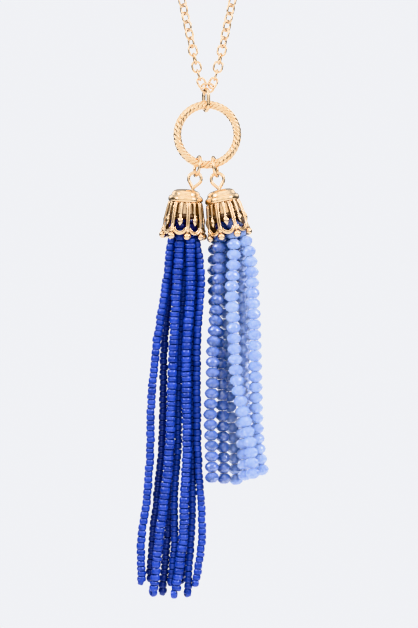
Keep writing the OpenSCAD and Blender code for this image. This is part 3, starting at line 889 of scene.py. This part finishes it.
knot = {
    "top": [(0.1, 8.4), (3.2, 8.3), (3.6, 6.5), (3.9, 6.25), (4.5, 6.12)],  # radius and height
    "turns": 30, "radius": 4.8, "flare": 0.1, "ridge": 0.09, "from": 5.7, "to": 1.3, "end": 1.2,
    "slimFrom": 5.4, "slimOver": 1.4, "slim": 0.72,  # where the strands leave it
}


# The knot of wound thread that the strands hang from, in the cup, drawn wide and brown-black as
# painted shade for the inside of the cap
def knotShape():
    outline = list(knot["top"])
    for i in range(knot["turns"]):
        u = i / (knot["turns"] - 1)
        outline.append((knot["radius"] + knot["flare"] * u + knot["ridge"] * (i % 2),
                        knot["from"] + (knot["to"] - knot["from"]) * u))
    outline.append((0.1, knot["end"]))
    shape = lathe(outline, 40, closed=False)
    for v in shape.verts:
        v.y *= 1 - knot["slim"] * min(max((knot["slimFrom"] - v.z) / knot["slimOver"], 0), 1)
    return shape


# From the mouth's frame, where the cap also tips a little to the front about its middle
def inCap(side):
    middle = Vector((0, 0, hang["capH"] / 2))
    lean = Matrix.Rotation(math.radians(-side["capLean"]), 4, "Y")
    tip = (Matrix.Translation(middle) @ Matrix.Rotation(math.radians(side["capTip"]), 4, "X")
           @ Matrix.Translation(-middle))
    return Matrix.Translation(side["mouth"]) @ lean @ tip


# Paints shade on what lies above the mouth of a cap, darker higher up, for the glasses
def shadeInCap(obj, side, plain=0.0):
    toCap = inCap(side).inverted()
    shade = []
    for v in obj.data.vertices:
        rise = ((toCap @ (v.co / mm)).z - cap["shadeFrom"]) / cap["shadeOver"]
        shade.append(plain + (1 - plain) * cap["shadeMost"] * min(max(rise, 0), 1))
    markMesh(obj, "shade", shade)


def makeCaps():
    for label, side in sides.items():
        place, body = inCap(side), side["body"]
        whole, cup, wound = Shape(), Shape(), Shape()
        whole.addMoved(capShape(side["phase"]), place)
        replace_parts(whole.finish("bell_cap_" + label, castGold, body, 62), "cap_" + label)
        cup.addMoved(cupShape(), place)
        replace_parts(cup.finish("bell_cup_" + label, cupGold, body, 50), "inner_cup_" + label)
        wound.addMoved(knotShape(), place)
        wound.finish("thread_knot_" + label, knotShadeThread, body, 40)


makeCaps()
print("bell caps cast")


seed = {
    "wide": [2.45, 2.75, 2.75, 2.3, 2.3, 2.4, 2.3, 2.3, 2.4],
    "pitch": 1.58, "hole": 0.42, "thread": 0.2, "round": 0.82,
    "lengths": (0.76, 0.88, 0.96, 1.0, 1.04, 1.1, 1.22), "overlap": 1.03,  # shares of the pitch
    # the strands behind others get this much painted shade all over
    "widths": (0.93, 1.04), "wobble": 0.12, "endTurn": 40, "behindShade": 0.55,
    "levels": [-5.2, -1.3, 7.7, 17.7, 29.7, 45.7, 59.7, 72.7, 83.7, 94.7],
    "ends": [1.0, 4.0, 4.5, 1.5, 0.5, 4.2, 1.5, 4.5, 1.0],
    "across": [
        [-2.1, -2.9, -4.0, -5.4, -7.3, -8.8, -9.1, -10.0, -11.6, -11.5],
        [-0.6, -0.7, -1.3, -2.0, -2.6, -3.3, -3.8, -5.2, -6.6, -8.2],
        [1.6, 1.8, 2.1, 1.9, 1.0, 0.9, 1.1, 0.3, 0.0, -2.1],
        [2.7, 3.1, 4.7, 4.8, 3.9, 3.9, 4.1, 4.9, 5.2, 3.6],
        [-1.9, -2.5, -3.2, -4.1, -5.2, -5.6, -6.0, -7.3, -8.5, -9.4],
        [-0.4, -0.4, -0.8, -1.2, -2.0, -3.0, -3.5, -3.4, -4.4, -5.8],
        [-0.5, -0.6, 0.3, -0.1, -0.8, -1.3, -1.5, -2.5, -2.3, -3.3],
        [1.7, 2.0, 3.4, 3.4, 2.6, 2.5, 2.7, 2.6, 2.2, 1.2],
        [1.5, 1.7, 1.9, 1.8, 1.2, 1.0, 1.2, 0.6, 0.4, -0.6]],
    "back": [
        [-0.6, -0.8, -1.4, -1.6, -1.8, -1.8, -1.5, -1.3, -1.2, -1.2],
        [-2.0, -2.5, -2.8, -2.8, -2.6, -2.4, -2.4, -2.2, -2.0, -1.6],
        [-2.0, -2.7, -2.9, -2.9, -2.8, -2.8, -2.6, -2.4, -2.2, -1.8],
        [-0.8, -0.9, -1.6, -1.7, -1.6, -1.4, -1.4, -1.4, -1.4, -1.4],
        [1.3, 1.8, 1.6, 1.4, 1.0, 0.8, 1.0, 1.2, 1.3, 1.3],
        [2.6, 3.0, 3.4, 3.4, 3.2, 2.8, 2.6, 2.4, 2.0, 1.6],
        [0.0, 0.1, 0.0, 0.0, 0.2, 0.2, 0.1, -0.2, 0.0, 0.2],
        [0.2, 0.5, 0.2, 0.2, 0.0, -0.1, 0.0, 0.2, 0.2, 0.0],
        [2.1, 2.6, 2.8, 2.8, 2.8, 2.7, 2.8, 2.6, 2.5, 2.2]],
}


# A strand's way down from its cap's mouth, from the tables of its beads
def strandRoute(side, beads, k, extra=0.0):
    rows = zip(beads["across"][k], beads["back"][k], beads["levels"])
    points = [side["mouth"] + Vector((a, b, -z)) for a, b, z in rows]
    points[-1].z -= extra
    return Route(points)


# A seed bead along X: a short glass tube with melted edges
def beadShape(outer, long, around=13, rows=11):
    middle, depth = (outer + seed["hole"]) / 2, (outer - seed["hole"]) / 2
    outline = []
    for i in range(rows):
        w = 2 * math.pi * i / rows
        c, s = (math.copysign(abs(v) ** seed["round"], v) for v in (math.cos(w), math.sin(w)))
        outline.append((middle + depth * s, long / 2 * c))
    shape = lathe(outline, around)
    shape.verts = [Vector((v.z, v.x, v.y)) for v in shape.verts]
    return shape


def makeSeeds():
    rng = random.Random(11)
    wobble = seed["wobble"]
    near, far, thread = Shape(), Shape(), Shape()
    for k, wide in enumerate(seed["wide"]):
        beads = far if seed["back"][k][3] > 1 else near
        route = strandRoute(sides["left"], seed, k, seed["ends"][k])
        s = 0.4
        while s < route.length - 1:
            long = seed["pitch"] * rng.choice(seed["lengths"])
            bead = beadShape(wide / 2 * rng.uniform(*seed["widths"]), long * seed["overlap"])
            t = route.heading(s + long / 2)
            t = (t + Vector([rng.uniform(-wobble, wobble) for _ in range(3)])).normalized()
            aside = Vector((rng.uniform(-wobble, wobble), rng.uniform(-wobble, wobble), 0))
            place = route.place(s + long / 2) + aside
            beads.addMoved(bead, along(place, t, rng.uniform(0, 90)))
            s += long
        # the bead the thread turns round lies across the strand
        end = route.place(route.length) + Vector((rng.uniform(-0.4, 0.4), 0, -0.1))
        turn = math.radians(rng.uniform(-seed["endTurn"], seed["endTurn"]))
        t = Vector((math.cos(turn), math.sin(turn), rng.uniform(-0.3, 0.3))).normalized()
        beads.addMoved(beadShape(wide / 2, seed["pitch"]), along(end, t, 0))
        thread.join(sweep(route.line(route.length, 60), seed["thread"], 6))
    # the strands behind get painted shade all over, and all beads get painted shade up in the cap
    for name, beads, tone in (("seed_beads_front", near, 0.0),
                              ("seed_beads_back", far, seed["behindShade"])):
        obj = beads.finish(name, cobaltGlass, "tassel_left")
        shadeInCap(obj, sides["left"], tone)
        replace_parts(obj, "seed_tassel")
    thread.finish("seed_threads", navyThread, "tassel_left")


makeSeeds()
print("seed beads strung")


rondelle = {
    "d": 4.0, "long": 2.75, "step": 2.9, "table": 2.0, "hole": 0.8, "cuts": 12,
    "kiteX": 0.52, "kiteR": 0.86, "sinkX": 0.72, "bevel": 0.12, "wobble": 0.03, "thread": 0.2,
    "levels": [-5.4, 2.5, 9, 16, 24, 32.5, 41, 49, 57.5, 69],
    "first": [3.4, 3.9, 4.4, 2.6, 2.9, 4.6, 4.9],
    "last": [67.5, 70.0, 68.5, 67.0, 69.0, 67.0, 65.5],
    "inCap": [2, 1, 2, 2, 2, 2, 1],  # cut beads above the first, up in the cap
    # each strand's glass: the same glass painted lit, half shaded or deep in shade
    "glass": ["deepShade", "deepShade", "middle", "paleLit", "paleLit", "paleLit", "middle"],
    "soften": 0.3,  # how far the facets' edges are rounded to the eye
    "across": [
        [-1.6, -2.9, -2.9, -3.2, -4.0, -4.7, -4.8, -5.4, -5.1, -4.9],
        [-2.3, -4.0, -4.3, -4.2, -3.7, -3.0, -2.4, -2.1, -1.9, -1.5],
        [-0.4, -0.7, -0.8, -0.8, -0.9, -0.9, -0.5, 0.1, 1.0, 1.9],
        [0.4, 1.1, 0.9, 0.5, 0.9, 1.3, 2.0, 3.6, 5.5, 6.5],
        [1.7, 2.9, 3.0, 3.2, 3.8, 3.7, 3.3, 3.3, 3.6, 4.3],
        [0.4, 4.6, 5.9, 6.3, 6.7, 6.9, 7.1, 7.3, 7.8, 9.4],
        [1.6, 4.0, 4.4, 4.3, 4.2, 4.2, 4.4, 4.8, 5.3, 6.1]],
    "back": [
        [-1.2, -2.2, -2.2, -2.3, -3.0, -3.6, -3.6, -3.6, -3.6, -3.6],
        [0.6, 1.7, 1.8, 1.8, 1.2, 0.4, -0.2, -0.5, -0.5, -0.5],
        [1.9, 3.6, 3.7, 3.8, 4.0, 3.9, 3.6, 3.5, 3.5, 3.6],
        [-2.4, -3.9, -3.9, -4.0, -4.0, -4.0, -4.0, -4.0, -4.0, -3.8],
        [0.5, 0.8, 0.7, 0.7, 0.6, 0.5, 0.4, 0.4, 0.2, 0.2],
        [-0.3, -2.7, -3.3, -3.1, -3.0, -2.9, -2.3, -1.2, -0.3, 0.4],
        [2.4, 4.6, 4.9, 4.9, 4.8, 4.7, 4.6, 4.5, 4.4, 4.4]],
}


# A cut bead along X: table, triangles and kites down to a zigzag girdle, and the same again
def rondelleShape():
    n, half, r = rondelle["cuts"], rondelle["long"] / 2, rondelle["d"] / 2
    tableR, holeR = rondelle["table"] / 2, rondelle["hole"] / 2
    end = [(rondelle["sinkX"], holeR, 0), (1, holeR + rondelle["bevel"], 0), (1, tableR, 0),
           (rondelle["kiteX"], r * rondelle["kiteR"], 0.5)]
    rings = [(-x, radius, shift) for x, radius, shift in end] + [(0, r, 0)] + end[::-1]
    verts = []
    for x, radius, shift in rings:
        for j in range(n):
            w = 2 * math.pi * (j + shift) / n
            verts.append(Vector((half * x, radius * math.cos(w), radius * math.sin(w))))
    # corners of the faces in one twelfth, each as its ring and its step round
    pattern = ["00 01 11 10", "10 11 21 20", "20 21 30", "30 21 31 41", "40 30 41", "40 41 50",
               "50 41 51 61", "60 50 61", "60 61 71 70", "70 71 81 80", "80 81 01 00"]
    corners = [[(int(ring), int(step)) for ring, step in row.split()[::-1]] for row in pattern]
    shape = Shape()
    shape.add(verts, [tuple(ring * n + (j + step) % n for ring, step in face)
                      for j in range(n) for face in corners])
    return shape


# Leans each facet's normals a little to their corners' smooth ones
def softenFacets(mesh, amount):
    smooth = [Vector(v.normal) for v in mesh.vertices]
    normals = []
    for face in mesh.polygons:
        for corner in face.loop_indices:
            n = face.normal * (1 - amount) + smooth[mesh.loops[corner].vertex_index] * amount
            normals.append(n.normalized())
    mesh.normals_split_custom_set(normals)


def makeRondelles():
    rng = random.Random(5)
    bead = rondelleShape()
    thread = Shape()
    step, wobble = rondelle["step"], rondelle["wobble"]
    mouthZ = sides["right"]["mouth"].z
    for k, glass in enumerate(rondelle["glass"]):
        route = strandRoute(sides["right"], rondelle, k)
        s = next(i * 0.05 for i in range(4000)
                 if mouthZ - route.place(i * 0.05).z >= rondelle["first"][k])
        s -= rondelle["inCap"][k] * step
        strand = Shape()
        while mouthZ - route.place(s).z < rondelle["last"][k] and s < route.length:
            t = route.heading(s) + Vector([rng.uniform(-wobble, wobble) for _ in range(3)])
            strand.addMoved(bead, along(route.place(s), t.normalized(), rng.uniform(0, 90)))
            s += step
        obj = strand.finish(f"cut_beads_{k + 1}", milkyGlass[glass], "tassel_right")
        # painted shade on the beads up in the cap
        shadeInCap(obj, sides["right"])
        softenFacets(obj.data, rondelle["soften"])
        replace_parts(obj, f"rondelles_{k + 1}")
        end = s - step + rondelle["long"] / 2 + 0.2
        thread.join(sweep(route.line(end, 40), rondelle["thread"], 6))
    strings = thread.finish("rondelle_strings", beadingThread, "tassel_right")
    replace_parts(strings, "rondelle_threads")


makeRondelles()
print("rondelles strung")


studio = {
    "paper": (0.86, 0.87, 0.90, 1),
    "paperRough": 0.9,
    "floorRadius": 1.2,
    "floorFade": 0.4,
    "floorSides": 96,
    "backdrop": (1.166, 1.178, 1.222, 1),
    # tones of the room from below to above
    "surround": [(0.0, (0.12, 0.09, 0.07, 1)), (0.34, (0.20, 0.17, 0.15, 1)),
                 (0.48, (0.42, 0.41, 0.41, 1)), (0.60, (0.62, 0.62, 0.64, 1)),
                 (1.0, (0.8, 0.8, 0.84, 1))],
    "front": 1.9,  # brightness of the room in front and behind
    "behind": 0.5,
    "flagTone": 0.12,  # dark cards at both sides give the gold its edges
    "flagInner": 0.3,
    "flagOuter": 0.8,
    "flagLift": 0.8,
    "aim": (0, -0.111, -0.40),
    # name, place and size in metres, watts
    "softboxes": [("front_left", (-0.50, -1.15, 0.25), (0.5, 0.5), 2.0),
                  ("front_right", (0.50, -1.15, 0.25), (0.5, 0.5), 1.8),
                  ("side_left", (-1.0, -0.65, 0.25), (0.24, 0.36), 13.0),
                  ("side_right", (1.0, -0.65, 0.25), (0.24, 0.36), 14.0),
                  ("back_left", (-0.80, 0.69, 0.2), (0.5, 0.5), 2.0),
                  ("back_right", (0.80, 0.69, 0.2), (0.5, 0.5), 2.0),
                  ("top", (0, -0.3, 0.6), (0.8, 0.8), 4.5)],
}


def addLight(name, place, aim, size, power):
    data = bpy.data.lights.new(name, "AREA")
    data.shape = "RECTANGLE"
    data.size, data.size_y = size
    data.energy = power
    obj = addObject(name, data)
    obj.location = place
    obj.rotation_euler = (Vector(aim) - Vector(place)).to_track_quat("-Z", "Y").to_euler()


# Pale paper, fading out towards its rim
def makeFloor():
    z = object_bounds()[0][2] - view["floorDrop"] * mm
    radius, count = studio["floorRadius"], studio["floorSides"]
    mesh = bpy.data.meshes.new("floor")
    rim = circlePoints(radius, count, Vector((0, 0, z)), xAxis, yAxis)
    mesh.from_pydata(rim, [], [tuple(range(count))])
    floor = addObject("floor", mesh)
    mat, shader = newMaterial("palePaper")
    nodes, links = mat.node_tree.nodes, mat.node_tree.links
    setSockets(shader, {"Base Color": studio["paper"], "Roughness": studio["paperRough"]})
    coords = nodes.new("ShaderNodeTexCoord")
    flat = nodes.new("ShaderNodeVectorMath")
    flat.operation = "MULTIPLY"
    flat.inputs[1].default_value = (1, 1, 0)
    far = nodes.new("ShaderNodeVectorMath")
    far.operation = "LENGTH"
    links.new(coords.outputs["Object"], flat.inputs[0])
    links.new(flat.outputs["Vector"], far.inputs[0])
    fade = rangeNode(mat.node_tree, far.outputs["Value"], (radius - studio["floorFade"], radius),
                     (1, 0), smooth=True)
    links.new(fade.outputs["Result"], shader.inputs["Alpha"])
    mesh.materials.append(mat)


# The room as a gold surface sees it: bright in front, with dark cards at both sides
def makeStudio():
    for name, place, size, power in studio["softboxes"]:
        addLight("softbox_" + name, place, studio["aim"], size, power)
    world = bpy.data.worlds.new("world")
    bpy.context.scene.world = world
    world.use_nodes = True
    tree = world.node_tree
    nodes, links = tree.nodes, tree.links
    path = nodes.new("ShaderNodeLightPath")
    coords = nodes.new("ShaderNodeTexCoord")
    split = nodes.new("ShaderNodeSeparateXYZ")
    links.new(coords.outputs["Generated"], split.inputs["Vector"])
    rise = rangeNode(tree, split.outputs["Z"], (-1, 1))
    ramp = nodes.new("ShaderNodeValToRGB")
    stops = ramp.color_ramp.elements
    while len(stops) < len(studio["surround"]):
        stops.new(0.5)
    for stop, (position, color) in zip(stops, studio["surround"]):
        stop.position = position
        stop.color = color
    links.new(rise.outputs["Result"], ramp.inputs["Fac"])
    frontal = mathNode(tree, "ABSOLUTE", split.outputs["Y"])
    # the cards end above the eye's height
    lifted = mathNode(tree, "MULTIPLY_ADD", split.outputs["Z"], studio["flagLift"], frontal)
    flag = rangeNode(tree, lifted, (studio["flagInner"], studio["flagOuter"]),
                     (studio["flagTone"], 1), smooth=True)
    depth = rangeNode(tree, split.outputs["Y"], (-1, 1), (studio["front"], studio["behind"]))
    strength = nodes.new("ShaderNodeMix")
    strength.inputs["B"].default_value = 1
    links.new(path.outputs["Is Camera Ray"], strength.inputs["Factor"])
    links.new(mathNode(tree, "MULTIPLY", flag.outputs["Result"], depth.outputs["Result"]),
              strength.inputs["A"])
    result = mixColor(tree, path.outputs["Is Camera Ray"], ramp.outputs["Color"],
                      studio["backdrop"])
    links.new(result, nodes["Background"].inputs["Color"])
    links.new(strength.outputs["Result"], nodes["Background"].inputs["Strength"])


makeFloor()
makeStudio()
print("studio lit")


def plain(box):
    return [[float(v) for v in corner] for corner in box]
